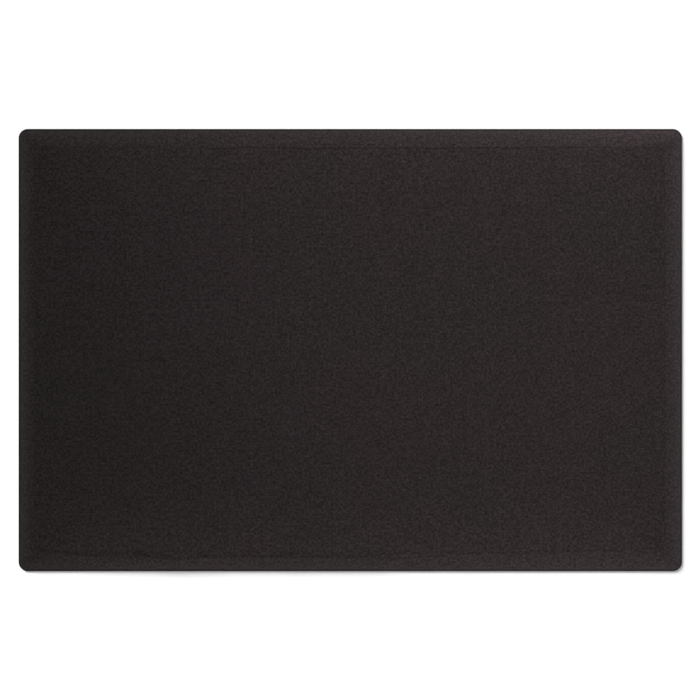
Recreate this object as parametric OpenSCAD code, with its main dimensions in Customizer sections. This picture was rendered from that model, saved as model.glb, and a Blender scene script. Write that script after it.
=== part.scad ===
// Anti fatigue mat: a woven cover bonded over two foams on a rubber grip base.
// Millimetres. The origin is the middle of the underside; X runs along the long side, Z is up.

/* [Overall size] */
// Length of the mat
mat_l = 914.4; // [400:0.1:1800]
// Width of the mat
mat_w = 609.6; // [300:0.1:1200]
// Thickness at the standing surface
mat_t = 15.9; // [13:0.1:25]
// Radius of the outline's corners
corner_r = 12.7; // [8:0.1:20]

/* [Sloping edge] */
// Distance from the outline to the crease where the standing surface begins
slope_w = 25.8; // [20:0.1:50]
// Angle by which the slope steepens from the crease down to the cover's edge
slope_turn = 30; // [10:1:40]
// Width of the base's bare lip outside the cover
lip_w = 2.5; // [1:0.1:4]

/* [Layers] */
// Thickness of the woven cover
cover_t = 1.2; // [0.6:0.1:2]
// Thickness of each bonding film
film_t = 0.3; // [0.2:0.05:0.5]
// Thickness of the firm foam over the base
support_t = 6.0; // [3:0.1:8]
// Thickness of the rubber base with its grip studs
base_t = 2.2; // [1.8:0.1:4]

/* [Grip studs] */
// Height of the studs under the base's web
stud_h = 0.8; // [0.4:0.1:1]
// Diameter of a stud
stud_d = 14; // [6:0.5:24]
// Distance between the studs of a row
stud_pitch = 30; // [26:1:60]
// Width of the flat rim round the studs
rim_w = 12; // [6:1:24]

/* [Hidden] */

// Height of the cover's upright cut edge over the base
cut_edge_h = 1.0;
// Overlap that joins a stud to the web
join = 0.2;
// Segments along the curved slope, and round a full circle
slope_steps = 6;
round_steps = 96;

// The slope is an arc from the top of the cut edge to the crease, seen with the outline at 0
slope_foot = [lip_w, base_t + cut_edge_h];
slope_crease = [slope_w, mat_t];
chord = slope_crease - slope_foot;
chord_angle = atan2(chord[1], chord[0]);
arc_r = norm(chord) / (2 * sin(slope_turn / 2));
foot_angle = chord_angle + slope_turn / 2;
arc_centre = slope_foot + arc_r * [sin(foot_angle), -cos(foot_angle)];

core_depth = cover_t + film_t;
core_top = mat_t - core_depth;
support_z = base_t + film_t;
foam_film_z = support_z + support_t;
comfort_z = foam_film_z + film_t;

// Angle of the slope at height z on the surface that lies depth under the cover's face
function angle_at(depth, z) = acos((z - arc_centre[1]) / (arc_r - depth));

// Distance from the outline to the upright edge of that surface
function edge_inset(depth) =
    arc_centre[0] - (arc_r - depth) * sin(angle_at(depth, slope_foot[1]));

// Points [inset, z] up the slope of that surface, from its foot to its flat top
function slope_points(depth) =
    let (low = angle_at(depth, slope_foot[1]), high = angle_at(depth, mat_t - depth))
    [for (i = [0 : slope_steps])
        let (a = low + (high - low) * i / slope_steps)
        arc_centre + (arc_r - depth) * [-sin(a), cos(a)]];

// Section across a side of the given span, standing on the base
module section(span, depth) {
    half = span / 2;
    slope = slope_points(depth);
    right = [for (p = slope) [half - p[0], p[1]]];
    left = [for (i = [slope_steps : -1 : 0]) [slope[i][0] - half, slope[i][1]]];
    foot = half - slope[0][0];
    polygon(concat([[-foot, base_t], [foot, base_t]], right, left));
}

module rounded_rectangle(l, w, r) {
    square([l - 2 * r, w], center = true);
    square([l, w - 2 * r], center = true);
    for (x = [-1, 1], y = [-1, 1])
        translate([x * (l / 2 - r), y * (w / 2 - r)])
            circle(r = r, $fn = round_steps);
}

// Outline of the mat drawn in by inset, with concentric corners
module outline(inset) {
    rounded_rectangle(mat_l - 2 * inset, mat_w - 2 * inset, corner_r - inset);
}

// Solid on the base whose face lies depth under the cover's face all over
module mound(depth) {
    intersection() {
        rotate([90, 0, 90])
            linear_extrude(mat_l, center = true)
                section(mat_w, depth);
        rotate([90, 0, 0])
            linear_extrude(mat_w, center = true)
                section(mat_l, depth);
        linear_extrude(mat_t)
            outline(edge_inset(depth));
    }
}

// Skin of the mound between two depths
module skin(depth, t) {
    difference() {
        mound(depth);
        mound(depth + t);
    }
}

// Slice of the core between two heights
module core_layer(z, t) {
    intersection() {
        mound(core_depth);
        translate([-mat_l / 2, -mat_w / 2, z])
            cube([mat_l, mat_w, t]);
    }
}

module top_cover() {
    color([0.20, 0.18, 0.18])
        skin(0, cover_t);
}

module cover_bond_film() {
    color([0.85, 0.83, 0.76])
        skin(cover_t, film_t);
}

module comfort_foam() {
    color([0.42, 0.44, 0.47])
        core_layer(comfort_z, core_top - comfort_z);
}

module foam_bond_film() {
    color([0.85, 0.83, 0.76])
        core_layer(foam_film_z, film_t);
}

module support_foam() {
    color([0.22, 0.23, 0.25])
        core_layer(support_z, support_t);
}

module base_bond_film() {
    color([0.85, 0.83, 0.76])
        core_layer(base_t, film_t);
}

// Studs in rows that step sideways by half a pitch, as far as the rim leaves room
module studs() {
    row_pitch = stud_pitch * sin(60);
    room_x = mat_l / 2 - rim_w - stud_d;
    room_y = mat_w / 2 - rim_w - stud_d;
    rows = floor(room_y / row_pitch);
    for (row = [-rows : rows]) {
        shift = (abs(row) % 2) * stud_pitch / 2;
        columns = floor((room_x - shift) / stud_pitch);
        for (column = [-columns - (shift > 0 ? 1 : 0) : columns])
            translate([column * stud_pitch + shift, row * row_pitch, 0])
                cylinder(d = stud_d, h = stud_h + join, $fn = round_steps);
    }
}

module grip_base() {
    color([0.12, 0.12, 0.12]) {
        difference() {
            linear_extrude(base_t)
                outline(0);
            translate([0, 0, -join])
                linear_extrude(stud_h + join)
                    rounded_rectangle(mat_l - 2 * rim_w, mat_w - 2 * rim_w, corner_r / 2);
        }
        studs();
    }
}

top_cover();
cover_bond_film();
comfort_foam();
foam_bond_film();
support_foam();
base_bond_film();
grip_base();
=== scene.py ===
import math

import bpy
import numpy as np
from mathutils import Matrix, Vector


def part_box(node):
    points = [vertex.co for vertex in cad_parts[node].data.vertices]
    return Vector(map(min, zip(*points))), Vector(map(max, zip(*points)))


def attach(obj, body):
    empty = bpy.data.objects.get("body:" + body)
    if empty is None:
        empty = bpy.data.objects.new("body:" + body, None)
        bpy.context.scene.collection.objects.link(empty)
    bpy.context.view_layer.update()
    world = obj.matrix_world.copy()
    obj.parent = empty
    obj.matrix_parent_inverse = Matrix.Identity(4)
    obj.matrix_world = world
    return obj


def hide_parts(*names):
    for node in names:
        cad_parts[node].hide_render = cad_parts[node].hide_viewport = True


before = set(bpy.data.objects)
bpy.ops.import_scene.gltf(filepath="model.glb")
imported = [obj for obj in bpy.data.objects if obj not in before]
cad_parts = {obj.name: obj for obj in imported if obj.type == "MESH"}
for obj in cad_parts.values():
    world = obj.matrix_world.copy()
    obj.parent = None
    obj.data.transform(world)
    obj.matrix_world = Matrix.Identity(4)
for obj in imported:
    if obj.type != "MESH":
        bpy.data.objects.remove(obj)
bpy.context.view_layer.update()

MM = 0.001

# ---------------------------------------------------------------- the frame's own sizes
base_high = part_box("grip_base")[1]
cover_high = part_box("top_cover")[1]
support_low, support_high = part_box("support_foam")
comfort_low, comfort_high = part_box("comfort_foam")
film_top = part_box("cover_bond_film")[1].z

HALF_L, HALF_W = base_high.x, base_high.y
BASE_TOP = base_high.z
TOP = cover_high.z
LIP = HALF_L - cover_high.x
COVER_T = TOP - film_top
CORE_DEPTH = TOP - comfort_high.z

# The sloping edge: an arc from the top of the cover's cut edge to the crease
CORNER_R = 12.7 * MM
CUT_EDGE_H = 1.0 * MM
SLOPE_RUN = 25.8 * MM - LIP
SLOPE_TURN = math.radians(30)


class Slope:
    """The sloping edge's section, as inset from the cover's edge against height."""

    def __init__(self):
        foot = np.array([0.0, BASE_TOP + CUT_EDGE_H])
        chord = np.array([SLOPE_RUN, TOP]) - foot
        self.radius = np.hypot(*chord) / (2 * math.sin(SLOPE_TURN / 2))
        steep = math.atan2(chord[1], chord[0]) + SLOPE_TURN / 2
        self.x, self.z = foot + self.radius * np.array([math.sin(steep), -math.cos(steep)])

    def height(self, inset, depth=0.0):
        """Height of the surface that lies depth under the cover's face."""
        r = self.radius - depth
        away = np.clip(np.asarray(inset, float) - self.x, -r, 0)
        arc = self.z + np.sqrt(np.maximum(r * r - away * away, 0))
        return np.where(np.asarray(inset) >= SLOPE_RUN, TOP - depth, np.minimum(arc, TOP - depth))

    def inset(self, height, depth):
        """Inset at which that surface has this height."""
        r = self.radius - depth
        return self.x - math.sqrt(r * r - (height - self.z) ** 2)


slope = Slope()


# ---------------------------------------------------------------- smooth, repeatable variation
def waves_1d(x, lengths, seed):
    """A wandering line, mostly between -1 and 1, made of sines of these wavelengths."""
    rng = np.random.default_rng(seed)
    total = sum(np.sin(2 * np.pi * x / w + rng.uniform(0, 2 * np.pi)) for w in lengths)
    return total / math.sqrt(len(lengths))


def waves_2d(x, y, shortest, longest, count, seed):
    """A rolling surface, mostly between -1 and 1, made of plane waves in every direction."""
    rng = np.random.default_rng(seed)
    total = 0.0
    for _ in range(count):
        angle, phase = rng.uniform(0, 2 * np.pi, 2)
        length = shortest * (longest / shortest) ** rng.random()
        total = total + np.sin(2 * np.pi * (x * np.cos(angle) + y * np.sin(angle)) / length + phase)
    return total / math.sqrt(count / 2) / 2


def bump_at(distance, width):
    """1 on a line, falling smoothly to about a third at this width and on towards 0."""
    return np.exp(-((distance / width) ** 2))


def smooth_step(t):
    """Goes from 0 to 1 as t does, with soft ends."""
    t = np.clip(t, 0, 1)
    return t * t * (3 - 2 * t)


def along(x, points, column):
    """One column of listed points (x, ...), joined smoothly."""
    xs = np.array([p[0] for p in points])
    values = np.array([p[column] for p in points])
    i = np.clip(np.searchsorted(xs, x) - 1, 0, len(xs) - 2)
    share = smooth_step((x - xs[i]) / (xs[i + 1] - xs[i]))
    return values[i] * (1 - share) + values[i + 1] * share


# ---------------------------------------------------------------- the cover's creases and puckers
# Each point: place along the mat, the crease's distance from the outline, its strength (0 to 1)
PLACE, STRENGTH = 1, 2
FAR_CREASE = [
    (-0.445, 0.0285, 0.0), (-0.400, 0.0290, 0.20), (-0.330, 0.0284, 0.30), (-0.255, 0.0296, 0.20),
    (-0.190, 0.0296, 0.60), (-0.155, 0.0294, 0.66), (-0.125, 0.0288, 0.42), (-0.078, 0.0286, 0.85),
    (-0.056, 0.0301, 0.90), (-0.030, 0.0293, 0.85), (-0.010, 0.0292, 0.72), (0.036, 0.0290, 0.55),
    (0.060, 0.0297, 0.62), (0.080, 0.0282, 0.65), (0.115, 0.0294, 0.72), (0.155, 0.0290, 0.75),
    (0.205, 0.0290, 0.75), (0.228, 0.0292, 0.58), (0.264, 0.0274, 0.90), (0.290, 0.0286, 0.38),
    (0.335, 0.0278, 0.50), (0.400, 0.0282, 0.25), (0.445, 0.0276, 0.0),
]
NEAR_CREASE = [
    (-0.445, 0.0300, 0.0), (-0.415, 0.0312, 0.40), (-0.382, 0.0270, 0.80), (-0.366, 0.0250, 1.0),
    (-0.344, 0.0236, 0.35), (-0.300, 0.0226, 0.30), (-0.250, 0.0199, 0.60), (-0.205, 0.0212, 0.35),
    (-0.175, 0.0232, 0.55), (-0.155, 0.0228, 1.0), (-0.115, 0.0228, 0.92), (-0.085, 0.0214, 0.70),
    (-0.050, 0.0229, 0.78), (-0.020, 0.0226, 0.80), (0.022, 0.0231, 0.80), (0.052, 0.0264, 0.85),
    (0.078, 0.0286, 0.40), (0.115, 0.0282, 0.25), (0.152, 0.0266, 0.80), (0.190, 0.0286, 0.40),
    (0.240, 0.0288, 0.40), (0.290, 0.0298, 0.40), (0.345, 0.0314, 0.40), (0.390, 0.0298, 0.20),
    (0.445, 0.0280, 0.0),
]
FAR_SEED, NEAR_SEED = 11, 29
# Short folds: side, then where each end is (along the mat, from the outline), and depth in mm
SHORT_FOLDS = [
    ("far", (-0.062, 0.0240), (0.066, 0.0242), 0.35), ("far", (0.232, 0.0250), (0.262, 0.0242), 0.30),
    ("near", (-0.300, 0.0292), (-0.268, 0.0206), 1.7), ("near", (-0.208, 0.0240), (-0.194, 0.0220), 1.1),
    ("near", (-0.193, 0.0242), (-0.204, 0.0220), 0.9), ("near", (0.034, 0.0200), (0.080, 0.0196), 1.1),
    ("near", (0.086, 0.0222), (0.140, 0.0228), 0.75), ("near", (0.318, 0.0254), (0.352, 0.0242), 0.35),
]
# A crease's section: the groove, the ridge outside it, the lower ridge inside it and the puckers
GROOVE_DEPTH, GROOVE_HALF = 1.08 * MM, 1.25 * MM
RIDGE_HEIGHT, RIDGE_OUT, RIDGE_HALF = 0.6 * MM, 2.9 * MM, 1.6 * MM
INNER_HEIGHT, INNER_IN, INNER_HALF = 0.18 * MM, 2.3 * MM, 1.5 * MM
PUCKER_HEIGHT, PUCKER_OUT, PUCKER_HALF = 0.08 * MM, 1.5 * MM, 5.0 * MM
PUCKER_PITCH, PUCKER_SLANT = 17 * MM, 0.35
# A short fold's ridge: its height as a share of the groove's depth, its distance and its width
FOLD_RIDGE, FOLD_RIDGE_OFF, FOLD_RIDGE_HALF = 0.45, 1.9 * MM, 1.2 * MM
# How far the creases wobble, how much painted shade darkens their cloth, and how far outside them the
# flat top starts
WOBBLE = 0.4 * MM
CREASE_SHADE = 0.25
FLAT_STARTS_OUTSIDE = 0.4 * MM

# The mesh's own row for the long creases, before it is moved to follow them
CREASE_ROW = 27.0 * MM


def crease_place(x, points, seed):
    """Distance of a long crease from the outline, with its small wobble."""
    return along(x, points, PLACE) + WOBBLE * waves_1d(x, (19 * MM, 29 * MM, 47 * MM), seed)


def crease(x, outline_inset, points, seed):
    """Height added by one long crease: a groove, a ridge on either side of it and short puckers."""
    patchy = 0.85 + 0.22 * waves_1d(x, (15 * MM, 33 * MM, 58 * MM), seed + 1)
    depth = np.clip(along(x, points, STRENGTH) * patchy, 0, 1)
    off = outline_inset - crease_place(x, points, seed)
    groove = -GROOVE_DEPTH * depth * bump_at(off, GROOVE_HALF)
    swell = 0.62 + 0.38 * waves_1d(x, (24 * MM, 50 * MM, 90 * MM), seed + 2)
    ridge = RIDGE_HEIGHT * depth * swell * bump_at(off + RIDGE_OUT, RIDGE_HALF)
    inner_ridge = INNER_HEIGHT * depth * bump_at(off - INNER_IN, INNER_HALF)
    wander = 2.2 * waves_1d(x, (50 * MM, 83 * MM), seed + 4)
    fan = np.sin(2 * np.pi * (x + PUCKER_SLANT * off) / PUCKER_PITCH + wander)
    pucker = PUCKER_HEIGHT * depth * fan * bump_at(off + PUCKER_OUT, PUCKER_HALF)
    return groove + ridge + inner_ridge + pucker


def short_folds(x, y, outline_inset):
    """Height added by the short folds near the long creases: a groove, and a ridge on one side."""
    total = np.zeros_like(x)
    for side, (x0, in0), (x1, in1), depth in SHORT_FOLDS:
        run_x, run_in = x1 - x0, in1 - in0
        length = math.hypot(run_x, run_in)
        t = ((x - x0) * run_x + (outline_inset - in0) * run_in) / length ** 2
        off = ((x - x0) * run_in - (outline_inset - in0) * run_x) / length
        fade = np.clip(1.3 * np.sin(np.pi * np.clip(t, 0, 1)), 0, 1)
        here = fade * ((y > 0) == (side == "far"))
        ridge = FOLD_RIDGE * bump_at(off - FOLD_RIDGE_OFF, FOLD_RIDGE_HALF)
        total += depth * MM * here * (ridge - bump_at(off, GROOVE_HALF))
    return total


def shaped(x, y, inset):
    """The inset that gives the slope its height: the flat top starts at the long creases."""
    place = np.where(y > 0, along(x, FAR_CREASE, PLACE), along(x, NEAR_CREASE, PLACE))
    reach = place - FLAT_STARTS_OUTSIDE - LIP
    ends = smooth_step((HALF_L - np.abs(x) - 30 * MM) / (50 * MM))
    reach = SLOPE_RUN + (reach - SLOPE_RUN) * ends
    return inset * SLOPE_RUN / reach


def drift(x, y, inset):
    """The slow unevenness that the foams and films share with the cover."""
    rolling = 0.22 * MM * waves_2d(x, y, shortest=80 * MM, longest=280 * MM, count=22, seed=5)
    slack = 0.09 * MM * waves_2d(x, y, shortest=35 * MM, longest=70 * MM, count=26, seed=8)
    return (rolling + slack) * np.clip(inset / (12 * MM), 0, 1)


def creases(x, y, inset):
    """The long creases and short folds, faded out where they meet the short sides."""
    outline_inset = inset + LIP
    long_side = 1 / (1 + np.exp((HALF_W - 60 * MM - np.abs(y)) / (4 * MM)))
    ends = np.clip((HALF_L - np.abs(x) - 12 * MM) / (20 * MM), 0, 1)
    far = crease(x, outline_inset, FAR_CREASE, FAR_SEED) * (y > 0)
    near = crease(x, outline_inset, NEAR_CREASE, NEAR_SEED) * (y < 0)
    deepest = -0.9 * COVER_T
    lines = np.maximum(far + near + short_folds(x, y, outline_inset), deepest)
    return lines * long_side * ends


def follow_creases(gx, gy, half_l, half_w):
    """Moves the border rows of the long sides so that the close ones lie along the creases."""
    far = crease_place(gx, FAR_CREASE, FAR_SEED)
    near = crease_place(gx, NEAR_CREASE, NEAR_SEED)
    place = np.where(gy > 0, far, near)
    ends = np.clip((half_l - np.abs(gx) - 30 * MM) / (30 * MM), 0, 1)
    inset = half_w - np.abs(gy)
    fixed_edge = 2 * MM
    outer = np.clip((inset - fixed_edge) / (CREASE_ROW - LIP - fixed_edge), 0, 1)
    inner = smooth_step((56 * MM - inset) / (26 * MM))
    shift = (place - CREASE_ROW) * ends * outer * inner
    return np.sign(gy) * (half_w - inset - shift)


# ---------------------------------------------------------------- meshes
def border_rows(*stretches):
    """Distances from the edge for a grid's border rows, from (start, end, step) stretches."""
    return np.concatenate([np.arange(start, end - step / 2, step) for start, end, step in stretches])


def spread_lines(half, insets, step):
    """Grid lines from -half to half: the border's insets at both ends, even steps between."""
    inner = half - insets[-1]
    count = max(2, int(round(2 * inner / step)))
    middle = np.linspace(-inner, inner, count + 1)[1:-1]
    return np.concatenate([-half + insets, middle, (half - insets)[::-1]])


CORNER_FADE = 70 * MM


def blanket(half_l, half_w, corner, insets, step_x, step_y, along_creases=False):
    """A grid over a rectangle with rounded corners: x, y and the inset of every point."""
    gx, gy = np.meshgrid(
        spread_lines(half_l, insets, step_x), spread_lines(half_w, insets, step_y), indexing="ij"
    )
    if along_creases:
        gy = follow_creases(gx, gy, half_l, half_w)
    inset = np.minimum(half_l - np.abs(gx), half_w - np.abs(gy))
    radius = corner * (1 - smooth_step((inset - SLOPE_RUN) / CORNER_FADE)) + 1e-6
    mid_x, mid_y = half_l - inset - radius, half_w - inset - radius
    px, py = np.abs(gx) - mid_x, np.abs(gy) - mid_y
    turn = np.pi / 4 * np.minimum(px, py) / np.maximum(np.maximum(px, py), 1e-9)
    turn = np.where(py > px, np.pi / 2 - turn, turn)
    corner_zone = (px > 0) & (py > 0)
    x = np.where(corner_zone, np.sign(gx) * (mid_x + radius * np.cos(turn)), gx)
    y = np.where(corner_zone, np.sign(gy) * (mid_y + radius * np.sin(turn)), gy)
    return x, y, inset


def new_mesh(name, points, faces, smooth=True):
    """An object in the scene with a mesh of these points and faces."""
    mesh = bpy.data.meshes.new(name)
    mesh.from_pydata(points.tolist(), [], faces)
    mesh.validate()
    mesh.update()
    if smooth:
        mesh.shade_smooth()
    obj = bpy.data.objects.new(name, mesh)
    bpy.context.scene.collection.objects.link(obj)
    return obj


def closed_slab(name, x, y, top, bottom):
    """A closed mesh between two surfaces over one grid, with its upper surface's points first."""
    nx, ny = x.shape
    points = np.concatenate([
        np.stack([x, y, top], -1).reshape(-1, 3),
        np.stack([x, y, bottom], -1).reshape(-1, 3),
    ])
    index = np.arange(nx * ny).reshape(nx, ny)
    low = index + nx * ny
    upper = np.stack([index[:-1, :-1], index[1:, :-1], index[1:, 1:], index[:-1, 1:]], -1)
    lower = np.stack([low[:-1, :-1], low[:-1, 1:], low[1:, 1:], low[1:, :-1]], -1)
    edge = np.concatenate([index[:-1, 0], index[-1, :-1], index[:0:-1, -1], index[0, :0:-1]])
    after = np.roll(edge, -1)
    wall = np.stack([edge + nx * ny, after + nx * ny, after, edge], -1)
    faces = np.concatenate([upper.reshape(-1, 4), lower.reshape(-1, 4), wall]).tolist()
    return new_mesh(name, points, faces)


def add_cloth_map(obj, u, v):
    """Gives both faces of a slab the cloth's own coordinates, as it lay before it was shaped."""
    points = np.stack([u.ravel(), v.ravel()], -1)
    corners = np.zeros(len(obj.data.loops), np.int32)
    obj.data.loops.foreach_get("vertex_index", corners)
    layer = obj.data.uv_layers.new(name="flat")
    layer.data.foreach_set("uv", points[corners % len(points)].ravel())


def add_painted_crease_shade(obj, folds):
    """Marks painted shade in the creases: how deep each point of the top lies in their grooves, from 0 to
    1.
    """
    painted_crease_shade = np.zeros(len(obj.data.vertices))
    painted_crease_shade[:folds.size] = np.clip(-folds.ravel() / GROOVE_DEPTH, 0, 1)
    obj.data.attributes.new("painted_crease_shade", "FLOAT", "POINT").data.foreach_set("value", painted_crease_shade)


def dress(obj, material, slot, *nodes):
    """Gives a piece its material, hangs it under the root body and hides the CAD nodes it stands for; the
    slot is not used.
    """
    obj.data.materials.clear()
    obj.data.materials.append(material)
    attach(obj, "root")
    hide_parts(*nodes)
    return obj


def arc_length(inset):
    """Length of cloth from the cover's edge to this inset, up the slope and along the flat."""
    angle = np.arcsin(np.clip((slope.x - np.minimum(inset, SLOPE_RUN)) / slope.radius, -1, 1))
    start = math.asin(slope.x / slope.radius)
    return slope.radius * (start - angle) + np.maximum(inset - SLOPE_RUN, 0)


def make_cover():
    """The woven cover: a closed sheet over the slope and the flat top."""
    insets = border_rows(
        (0.0, 0.6 * MM, 0.3 * MM), (0.6 * MM, 1.4 * MM, 0.4 * MM), (1.4 * MM, 17 * MM, 1.95 * MM),
        (17 * MM, 19.8 * MM, 0.7 * MM), (19.8 * MM, 27.2 * MM, 0.39 * MM),
        (27.2 * MM, 30 * MM, 0.9 * MM), (30 * MM, 36 * MM, 2 * MM), (36 * MM, 61 * MM, 5 * MM),
    )
    half_l, half_w = HALF_L - LIP, HALF_W - LIP
    corner = CORNER_R - LIP
    x, y, inset = blanket(half_l, half_w, corner, insets, 3 * MM, 12 * MM, along_creases=True)
    low, folds = drift(x, y, inset), creases(x, y, inset)
    round_h, round_w = 0.75 * MM, 1.3 * MM
    rounding = round_h * np.clip(1 - inset / round_w, 0, 1) ** 2
    run = shaped(x, y, inset)
    top = slope.height(run) + low + folds - rounding
    under = np.maximum(slope.height(run, COVER_T), BASE_TOP) + low + np.maximum(folds, 0)
    cloth = closed_slab("cover_cloth", x, y, top, under)
    u = np.sign(x) * (arc_length(half_l) - arc_length(half_l - np.abs(x)))
    v = np.sign(y) * (arc_length(half_w) - arc_length(half_w - np.abs(y)))
    add_cloth_map(cloth, u, v)
    add_painted_crease_shade(cloth, folds)
    return cloth


LAYER_GAP = 0.02 * MM


def make_cover_film():
    """The film that bonds the cover to the foams, just under the cloth."""
    start = slope.inset(BASE_TOP + CUT_EDGE_H, COVER_T)
    insets = border_rows((0, 15 * MM, 2.5 * MM), (15 * MM, 27 * MM, 1.5 * MM), (27 * MM, 60 * MM, 7 * MM))
    half_l, half_w = HALF_L - LIP - start, HALF_W - LIP - start
    x, y, inset = blanket(half_l, half_w, CORNER_R - LIP - start, insets, 9 * MM, 9 * MM)
    inset = inset + start
    low, run = drift(x, y, inset), shaped(x, y, inset)
    top = slope.height(run, COVER_T + LAYER_GAP) + low
    under = np.maximum(slope.height(run, CORE_DEPTH - LAYER_GAP), BASE_TOP + LAYER_GAP) + low
    return closed_slab("cover_film_web", x, y, top, under)


def make_layer(name, low, high, step):
    """One layer of the core between two heights, with its sloping sides."""
    start = slope.inset(max(low, BASE_TOP + CUT_EDGE_H), CORE_DEPTH)
    insets = border_rows((0, 22 * MM, 2 * MM), (22 * MM, 60 * MM, 7 * MM))
    half_l, half_w = HALF_L - LIP - start, HALF_W - LIP - start
    corner = max(CORNER_R - LIP - start, 2 * MM)
    x, y, inset = blanket(half_l, half_w, corner, insets, step, step)
    inset = inset + start
    face = slope.height(shaped(x, y, inset), CORE_DEPTH) + drift(x, y, inset)
    top = np.maximum(face - LAYER_GAP, low + 2 * LAYER_GAP)
    if high < comfort_high.z:
        top = np.minimum(top, high - LAYER_GAP)
    return closed_slab(name, x, y, top, np.full_like(top, low + LAYER_GAP))


CORNER_STEPS, SIDE_STEP = 10, 14 * MM


def outline_ring(inset):
    """Points round the outline drawn in by inset, with its rounded corners."""
    r = max(CORNER_R - inset, 0.5 * MM)
    mid_x, mid_y = HALF_L - inset - r, HALF_W - inset - r
    ring = []
    for quarter, (sx, sy) in enumerate([(1, 1), (-1, 1), (-1, -1), (1, -1)]):
        turns = np.linspace(0, np.pi / 2, CORNER_STEPS + 1) + quarter * np.pi / 2
        ring += [(sx * mid_x + r * np.cos(a), sy * mid_y + r * np.sin(a)) for a in turns]
        side = 2 * mid_x if quarter % 2 == 0 else 2 * mid_y
        steps = int(side / SIDE_STEP)
        ax, ay = ring[-1]
        direction = np.array([[-1, 0], [0, -1], [1, 0], [0, 1]][quarter])
        ring += [tuple(np.array([ax, ay]) + direction * side * i / steps) for i in range(1, steps)]
    return np.array(ring)


def lofted(name, section):
    """A closed solid round the outline, from (inset, height) points, capped flat at both ends."""
    rings = [outline_ring(inset) for inset, _ in section]
    n = len(rings[0])
    points = np.concatenate([
        np.column_stack([ring, np.full(n, z)]) for ring, (_, z) in zip(rings, section)
    ])
    faces = []
    for k in range(len(section) - 1):
        for i in range(n):
            j = (i + 1) % n
            faces.append([k * n + i, (k + 1) * n + i, (k + 1) * n + j, k * n + j])
    faces.append(list(range(n)))
    faces.append(list(range((len(section) - 1) * n, len(section) * n))[::-1])
    return new_mesh(name, points, faces, smooth=False)


def turned(name, section, places):
    """Round solids in one mesh, from one (radius, height) section listed from the top down."""
    sides = 24
    turns = np.arange(sides) * 2 * np.pi / sides
    circle = np.stack([np.cos(turns), np.sin(turns)], -1)
    one = np.concatenate([np.column_stack([circle * r, np.full(sides, z)]) for r, z in section])
    index = np.arange(len(one)).reshape(len(section), sides)
    after = np.roll(index, -1, axis=1)
    walls = np.stack([index[:-1], index[1:], after[1:], after[:-1]], -1).reshape(-1, 4)
    faces = walls.tolist() + [index[0].tolist(), index[-1, ::-1].tolist()]
    points = np.concatenate([one + np.array([px, py, 0]) for px, py in places])
    every = [[v + k * len(one) for v in face] for k in range(len(places)) for face in faces]
    return new_mesh(name, points, every, smooth=False)


def stud_places(pitch, room_x, room_y):
    """Centres of the grip studs, in rows that step sideways by half a pitch."""
    row_pitch = pitch * math.sin(math.radians(60))
    rows = int(room_y / row_pitch)
    for row in range(-rows, rows + 1):
        shift = abs(row) % 2 * pitch / 2
        columns = int((room_x - shift) / pitch)
        first = -columns - (1 if shift else 0)
        for column in range(first, columns + 1):
            yield column * pitch + shift, row * row_pitch


def make_base():
    """The rubber base: rounded lip, flat rim, thin web and round grip studs."""
    stud_h, stud_r, pitch, rim = 0.8 * MM, 7 * MM, 30 * MM, 12 * MM
    round_off = 0.55 * MM
    lip_curve = [
        (round_off * (1 - math.sin(a)), BASE_TOP - round_off * (1 - math.cos(a)))
        for a in np.linspace(0, math.pi / 2, 6)
    ]
    base = lofted("rubber_base", [
        (LIP + 1.5 * MM, BASE_TOP), (LIP * 0.6, BASE_TOP), *lip_curve,
        (0.0, 0.7 * MM), (0.12 * MM, 0.25 * MM), (0.45 * MM, 0.0),
        (rim - 0.5 * MM, 0.0), (rim, 0.3 * MM), (rim + 0.15 * MM, stud_h),
    ])
    places = stud_places(pitch, HALF_L - rim - 2 * stud_r, HALF_W - rim - 2 * stud_r)
    studs = turned("studs", [
        (stud_r + 0.3 * MM, stud_h + 0.25 * MM), (stud_r + 0.25 * MM, stud_h),
        (stud_r, 0.5 * MM), (stud_r - 0.15 * MM, 0.15 * MM), (stud_r - 0.5 * MM, 0.0),
        (stud_r - 2.4 * MM, 0.0), (stud_r - 3.0 * MM, 0.35 * MM),
    ], list(places))

    join = base.modifiers.new("studs", "BOOLEAN")
    join.operation, join.solver, join.object = "UNION", "MANIFOLD", studs
    mesh = bpy.data.meshes.new_from_object(
        base.evaluated_get(bpy.context.evaluated_depsgraph_get())
    )
    base.modifiers.clear()
    base.data = mesh
    bpy.data.objects.remove(studs)
    base.data.shade_smooth()
    base.data.set_sharp_from_angle(angle=math.radians(35))
    return base


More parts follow.
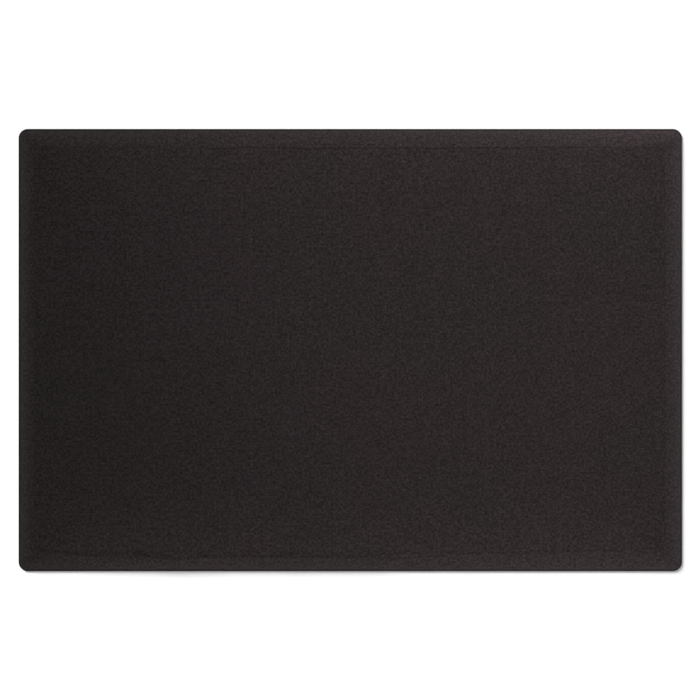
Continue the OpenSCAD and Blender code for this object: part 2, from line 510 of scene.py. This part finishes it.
# ---------------------------------------------------------------- materials
class Nodes:
    """Short calls for building a material's node tree."""

    def __init__(self, name):
        self.material = bpy.data.materials.new(name)
        self.material.use_nodes = True
        self.tree = self.material.node_tree
        self.shader = self.tree.nodes["Principled BSDF"]

    def add(self, kind, **settings):
        node = self.tree.nodes.new("ShaderNode" + kind)
        for key, value in settings.items():
            setattr(node, key, value)
        return node

    def put(self, value, socket):
        if isinstance(value, bpy.types.NodeSocket):
            self.tree.links.new(value, socket)
        else:
            socket.default_value = value

    def math(self, operation, a, b=0.0, c=0.0):
        node = self.add("Math", operation=operation)
        for value, socket in zip((a, b, c), node.inputs):
            self.put(value, socket)
        return node.outputs[0]

    def combine(self, x, y, z=0.0):
        node = self.add("CombineXYZ")
        for value, socket in zip((x, y, z), node.inputs):
            self.put(value, socket)
        return node.outputs[0]

    def noise(self, vector, scale, detail, roughness=0.5, w=None):
        node = self.add("TexNoise", noise_dimensions="3D" if w is None else "4D")
        self.put(vector, node.inputs["Vector"])
        node.inputs["Scale"].default_value = scale
        node.inputs["Detail"].default_value = detail
        node.inputs["Roughness"].default_value = roughness
        if w is not None:
            self.put(w, node.inputs["W"])
        return node.outputs["Fac"]

    def spread(self, value, low, high, to_low=0.0, to_high=1.0, smooth=False):
        node = self.add("MapRange", interpolation_type="SMOOTHSTEP" if smooth else "LINEAR")
        for item, socket in zip((value, low, high, to_low, to_high), node.inputs):
            self.put(item, socket)
        return node.outputs[0]

    def mix(self, factor, a, b):
        node = self.add("Mix", data_type="RGBA")
        self.put(factor, node.inputs[0])
        self.put(a, node.inputs[6])
        self.put(b, node.inputs[7])
        return node.outputs[2]

    def scaled(self, colour, by):
        node = self.add("VectorMath", operation="SCALE")
        self.put(colour, node.inputs[0])
        self.put(by, node.inputs["Scale"])
        return node.outputs[0]

    def bump(self, height, distance, strength, normal=None):
        node = self.add("Bump")
        node.inputs["Strength"].default_value = strength
        node.inputs["Distance"].default_value = distance
        self.put(height, node.inputs["Height"])
        if normal is not None:
            self.put(normal, node.inputs["Normal"])
        return node.outputs["Normal"]

    def set(self, **values):
        for key, value in values.items():
            self.put(value, self.shader.inputs[key.replace("_", " ")])


def cloth_material():
    """Charcoal crepe weave: threads, a pattern that repeats, uneven dye, painted shade in the creases and
    a soft sheen.
    """
    n = Nodes("charcoal_crepe")
    repeat_u, repeat_v, threads_u, threads_v = 16.7 * MM, 15.4 * MM, 22, 20
    uv = n.add("UVMap", uv_map="flat").outputs["UV"]
    parts = n.add("SeparateXYZ")
    n.put(uv, parts.inputs[0])
    wander = n.noise(uv, 60, 1.0)
    shift = n.spread(wander, 0, 1, -0.5 * MM, 0.5 * MM)
    u = n.math("ADD", parts.outputs[0], shift)
    v = n.math("SUBTRACT", parts.outputs[1], shift)

    # threads: which of the two systems lies on top in each crossing, in a repeating crepe order
    tu, tv = n.math("MULTIPLY", u, threads_u / repeat_u), n.math("MULTIPLY", v, threads_v / repeat_v)
    cell = n.combine(
        n.math("FLOORED_MODULO", n.math("FLOOR", tu), threads_u),
        n.math("FLOORED_MODULO", n.math("FLOOR", tv), threads_v),
    )
    order = n.add("TexWhiteNoise", noise_dimensions="3D")
    n.put(cell, order.inputs["Vector"])
    over = n.math("GREATER_THAN", order.outputs["Value"], 0.5)
    warp = n.math("ABSOLUTE", n.math("SINE", n.math("MULTIPLY", tu, math.pi)))
    weft = n.math("ABSOLUTE", n.math("SINE", n.math("MULTIPLY", tv, math.pi)))
    thread = n.math("ADD", n.math("MULTIPLY", over, warp),
                    n.math("MULTIPLY", n.math("SUBTRACT", 1.0, over), weft))

    # clumps of floats, repeating with the weave
    au = n.math("MULTIPLY", u, 2 * math.pi / repeat_u)
    av = n.math("MULTIPLY", v, 2 * math.pi / repeat_v)
    ring = n.combine(n.math("COSINE", au), n.math("SINE", au), n.math("COSINE", av))
    clump = n.noise(ring, 1.75, 2.5, 0.62, w=n.math("MULTIPLY", n.math("SINE", av), 1.75))

    # uneven yarn: flecks along both thread directions and blotches that don't repeat
    along_u = n.noise(n.combine(n.math("MULTIPLY", u, 260), n.math("MULTIPLY", v, 620)), 1.0, 1.0)
    along_v = n.noise(n.combine(n.math("MULTIPLY", u, 620), n.math("MULTIPLY", v, 260), 7.0), 1.0, 1.0)
    fleck = n.noise(uv, 300, 1.5)
    blotch = n.noise(uv, 120, 1.0)
    cloud = n.noise(uv, 30, 1.0)

    # how light each point is: every pattern about its middle value, times its strength
    patterns = [(fleck, 0.5, 2.3), (along_u, 0.5, 0.95), (along_v, 0.5, 0.85), (blotch, 0.5, 0.75),
                (cloud, 0.5, 0.28), (clump, 0.5, 1.0), (thread, 0.64, 0.27)]
    speckle = 0.0
    for pattern, middle, strength in patterns:
        part = n.math("MULTIPLY", n.math("SUBTRACT", pattern, middle), strength)
        speckle = n.math("ADD", speckle, part)
    # painted shade: the cloth's colour is darkened along the creases' grooves, by their depth
    painted_crease_shade = n.add("Attribute", attribute_name="painted_crease_shade").outputs["Fac"]
    crease_shade_amount = n.math("MULTIPLY", painted_crease_shade, CREASE_SHADE)
    contrast = 2.2
    tone = n.math("MULTIPLY_ADD", n.math("SUBTRACT", speckle, crease_shade_amount), 1 / contrast, 1.0)
    shade = n.math("POWER", n.math("MAXIMUM", tone, 0.1), contrast)

    dye = n.noise(uv, 4.5, 2.0)
    warmth = n.spread(dye, 0.35, 0.65, 0, 1, smooth=True)
    colour = n.mix(warmth, (0.0272, 0.0252, 0.0239, 1), (0.0290, 0.0252, 0.0251, 1))
    n.set(
        Base_Color=n.scaled(colour, shade),
        Roughness=n.spread(thread, 0, 1, 0.95, 0.78),
        Specular_IOR_Level=0.16,
        Sheen_Weight=0.02,
        Sheen_Roughness=0.45,
        Sheen_Tint=(0.62, 0.55, 0.56, 1),
        Normal=n.bump(thread, 0.12 * MM, 0.5,
                      n.bump(n.math("ADD", clump, fleck), 0.35 * MM, 0.5)),
    )
    return n.material


def film_material():
    """Translucent off-white adhesive web, clouded where it ran thicker."""
    n = Nodes("adhesive_film")
    place = n.add("TexCoord").outputs["Object"]
    cloud = n.noise(place, 90, 3.0, 0.6)
    web = n.noise(place, 700, 2.0, 0.6)
    colour = n.mix(n.spread(cloud, 0.3, 0.7), (0.62, 0.58, 0.48, 1), (0.78, 0.75, 0.67, 1))
    n.set(
        Base_Color=colour,
        Roughness=n.spread(web, 0.2, 0.8, 0.35, 0.65),
        Normal=n.bump(web, 0.15 * MM, 0.6),
    )
    return n.material


def foam_material(name, dark, light, cell_size):
    """Cut foam: rounded cells whose hollows are darkened with painted shade, and a slow change of tone.
    """
    n = Nodes(name)
    place = n.add("TexCoord").outputs["Object"]
    cells = n.add("TexVoronoi", feature="SMOOTH_F1")
    cells.inputs["Scale"].default_value = 1 / cell_size
    cells.inputs["Smoothness"].default_value = 0.35
    n.put(place, cells.inputs["Vector"])
    cloud = n.noise(place, 14, 3.0, 0.55)
    wall = n.spread(cells.outputs["Distance"], 0.1, 0.75)
    # painted shade: tone runs from the dark colour in each cell's hollow middle to the light one at its
    # walls
    tone = n.math("ADD", n.math("MULTIPLY", wall, 0.7), n.math("MULTIPLY", cloud, 0.3))
    n.set(
        Base_Color=n.mix(tone, dark, light),
        Roughness=n.spread(wall, 0, 1, 0.95, 0.8),
        Specular_IOR_Level=0.3,
        Normal=n.bump(wall, cell_size * 0.4, 0.8),
    )
    return n.material


def rubber_material():
    """Matte black moulded rubber with a fine grain and faint grey bloom."""
    n = Nodes("base_rubber")
    place = n.add("TexCoord").outputs["Object"]
    grain = n.noise(place, 900, 2.0, 0.6)
    bloom = n.noise(place, 22, 4.0, 0.6)
    colour = n.mix(n.spread(bloom, 0.4, 0.75), (0.0115, 0.0105, 0.0105, 1), (0.020, 0.0190, 0.0188, 1))
    n.set(
        Base_Color=colour,
        Roughness=n.spread(bloom, 0.3, 0.7, 0.62, 0.8),
        Specular_IOR_Level=0.35,
        Normal=n.bump(grain, 0.12 * MM, 0.5),
    )
    return n.material


# ---------------------------------------------------------------- the pieces
film = film_material()
cover = dress(make_cover(), cloth_material(), "cover_cloth", "top_cover")
cover_film = dress(make_cover_film(), film, "bond_film", "cover_bond_film")
comfort = dress(
    make_layer("comfort_foam_pad", comfort_low.z, comfort_high.z, 9 * MM),
    foam_material("soft_foam", (0.11, 0.115, 0.125, 1), (0.27, 0.28, 0.30, 1), 0.7 * MM),
    "soft_foam", "comfort_foam")
middle_film = dress(
    make_layer("middle_film_web", support_high.z, comfort_low.z, 14 * MM), film,
    "bond_film", "foam_bond_film")
support = dress(
    make_layer("support_foam_pad", support_low.z, support_high.z, 9 * MM),
    foam_material("firm_foam", (0.022, 0.023, 0.025, 1), (0.065, 0.067, 0.072, 1), 0.45 * MM),
    "firm_foam", "support_foam")
lower_film = dress(
    make_layer("lower_film_web", BASE_TOP, support_low.z, 14 * MM), film,
    "bond_film", "base_bond_film")
base = dress(make_base(), rubber_material(), "base_rubber", "grip_base")


# ---------------------------------------------------------------- floor, light and camera
def make_floor():
    """A wide pale floor, whose edge lies at the horizon in the low views."""
    n = Nodes("pale_floor")
    place = n.add("TexCoord").outputs["Object"]
    mottle = n.noise(place, 1.5, 2.0)
    n.set(
        Base_Color=n.mix(mottle, (0.70, 0.70, 0.70, 1), (0.72, 0.72, 0.72, 1)),
        Roughness=0.9,
        Specular_IOR_Level=0.1,
    )
    half = 60.0
    corners = np.array([[-half, -half, 0], [half, -half, 0], [half, half, 0], [-half, half, 0]])
    floor = new_mesh("floor", corners, [[0, 1, 2, 3]], smooth=False)
    floor.data.materials.append(n.material)
    return floor


def make_world(zenith, horizon):
    """A pale surround, a little brighter at the horizon than overhead, and a white backdrop."""
    world = bpy.data.worlds.new("studio")
    bpy.context.scene.world = world
    world.use_nodes = True
    tree = world.node_tree
    background = tree.nodes["Background"]
    place = tree.nodes.new("ShaderNodeTexCoord")
    parts = tree.nodes.new("ShaderNodeSeparateXYZ")
    tree.links.new(place.outputs["Generated"], parts.inputs[0])
    # the sine of the angle above the horizon over which the one fades into the other
    fade_from, fade_to = 0.08, 0.35
    ramp = tree.nodes.new("ShaderNodeMapRange")
    ramp.interpolation_type = "SMOOTHSTEP"
    ramp.inputs["From Min"].default_value = fade_from
    ramp.inputs["From Max"].default_value = fade_to
    ramp.inputs["To Min"].default_value = horizon
    ramp.inputs["To Max"].default_value = zenith
    tree.links.new(parts.outputs[2], ramp.inputs["Value"])
    seen = tree.nodes.new("ShaderNodeLightPath")
    strength = tree.nodes.new("ShaderNodeMix")
    strength.inputs["B"].default_value = 1.0
    tree.links.new(seen.outputs["Is Camera Ray"], strength.inputs["Factor"])
    tree.links.new(ramp.outputs[0], strength.inputs["A"])
    tree.links.new(strength.outputs["Result"], background.inputs["Strength"])
    background.inputs["Color"].default_value = (1.0, 1.0, 1.0, 1)


def only_on(name, pieces):
    """A collection that limits a light to these pieces."""
    group = bpy.data.collections.new(name)
    for piece in pieces:
        group.objects.link(piece)
    return group


def add_light(name, kind, energy, place, target, receivers, **settings):
    """A light at a place, aimed at a target, that lights only its receivers."""
    data = bpy.data.lights.new(name, kind)
    data.energy = energy
    for key, value in settings.items():
        setattr(data, key, value)
    light = bpy.data.objects.new(name, data)
    light.location = place
    direction = Vector(target) - Vector(place)
    light.rotation_euler = direction.to_track_quat("-Z", "Y").to_euler()
    light.light_linking.receiver_collection = receivers
    light.visible_camera = False
    bpy.context.scene.collection.objects.link(light)


floor = make_floor()
make_world(zenith=0.250, horizon=0.45)

ON_FLOOR = only_on("on_floor", [floor])
ON_MAT = only_on("on_mat", [cover, cover_film, comfort, middle_film, support, lower_film, base])
ON_COVER = only_on("on_cover", [cover])
ORIGIN = (0, 0, 0)
ROSE, PINK, DEEP_ROSE = (1.0, 0.78, 0.82), (1.0, 0.80, 0.88), (1.0, 0.76, 0.79)

# Two lights that whiten the floor: one from above, and one from the far left that throws the shadow
add_light("floor_fill", "SUN", 0.85, (0, 0, 1), ORIGIN, ON_FLOOR, angle=math.radians(5))
add_light("shadow_sun", "SUN", 6.7, (-1.05, 1.1, 0.80), ORIGIN, ON_FLOOR, angle=math.radians(18))

# Soft spots over the right half: the mat's left end is darker
SPOT_HEIGHT = 2.4
for side, energy, x, y in [("far", 56, 0.32, 0.24), ("near", 9, 0.22, -0.24)]:
    add_light(side + "_spot", "SPOT", energy, (x, y, SPOT_HEIGHT), (x, y, 0.0), ON_MAT,
              spot_size=math.radians(37), spot_blend=0.8, shadow_soft_size=0.2, color=PINK)

# Low lights from the four sides, which make the slopes lighter than the flat top
LOW = math.tan(math.radians(9))
for side, energy, x, lit in [("left", 0.85, -1, ON_COVER), ("right", 0.82, 1, ON_MAT)]:
    add_light(side + "_glow", "SUN", energy, (x, 0, LOW), ORIGIN, lit,
              angle=math.radians(12), color=ROSE)
for side, energy, place in [("far", 1.40, (0, 0.9, 0.14)), ("near", 1.46, (0, -0.9, 0.20))]:
    add_light(side + "_strip", "AREA", energy, place, ORIGIN, ON_MAT,
              shape="RECTANGLE", size=1.7, size_y=0.18, color=DEEP_ROSE)

# Narrow bands close above the long creases, beside which the flat top is a little brighter
BAND_HEIGHT = 0.076
for side, energy, x, y in [("far", 0.033, 0.02, 0.276), ("near", 0.053, 0.0, -0.276)]:
    add_light(side + "_band", "AREA", energy, (x, y, BAND_HEIGHT), (x, y, 0.0), ON_MAT,
              shape="RECTANGLE", size=0.8, size_y=0.03, color=ROSE)

# Two soft boxes beyond the right-hand corners
for side, energy, place in [("far", 4.5, (0.7, 0.95, 0.2)), ("near", 2.5, (0.7, -1.0, 0.2))]:
    add_light(side + "_box", "AREA", energy, place, (0.4, 0, 0.01), ON_MAT,
              shape="RECTANGLE", size=0.6, size_y=0.22, color=PINK)

# Straight down, with the frame as wide as the mat and its margin
FRAME_WIDTH = 0.9656
camera_data = bpy.data.cameras.new("camera")
camera_data.lens = 85
camera_data.sensor_width = 36
camera = bpy.data.objects.new("camera", camera_data)
camera.location = (-0.4 * MM, 0.1 * MM, FRAME_WIDTH * camera_data.lens / camera_data.sensor_width)
bpy.context.scene.collection.objects.link(camera)
bpy.context.scene.camera = camera
bpy.context.scene.view_settings.view_transform = "Standard"
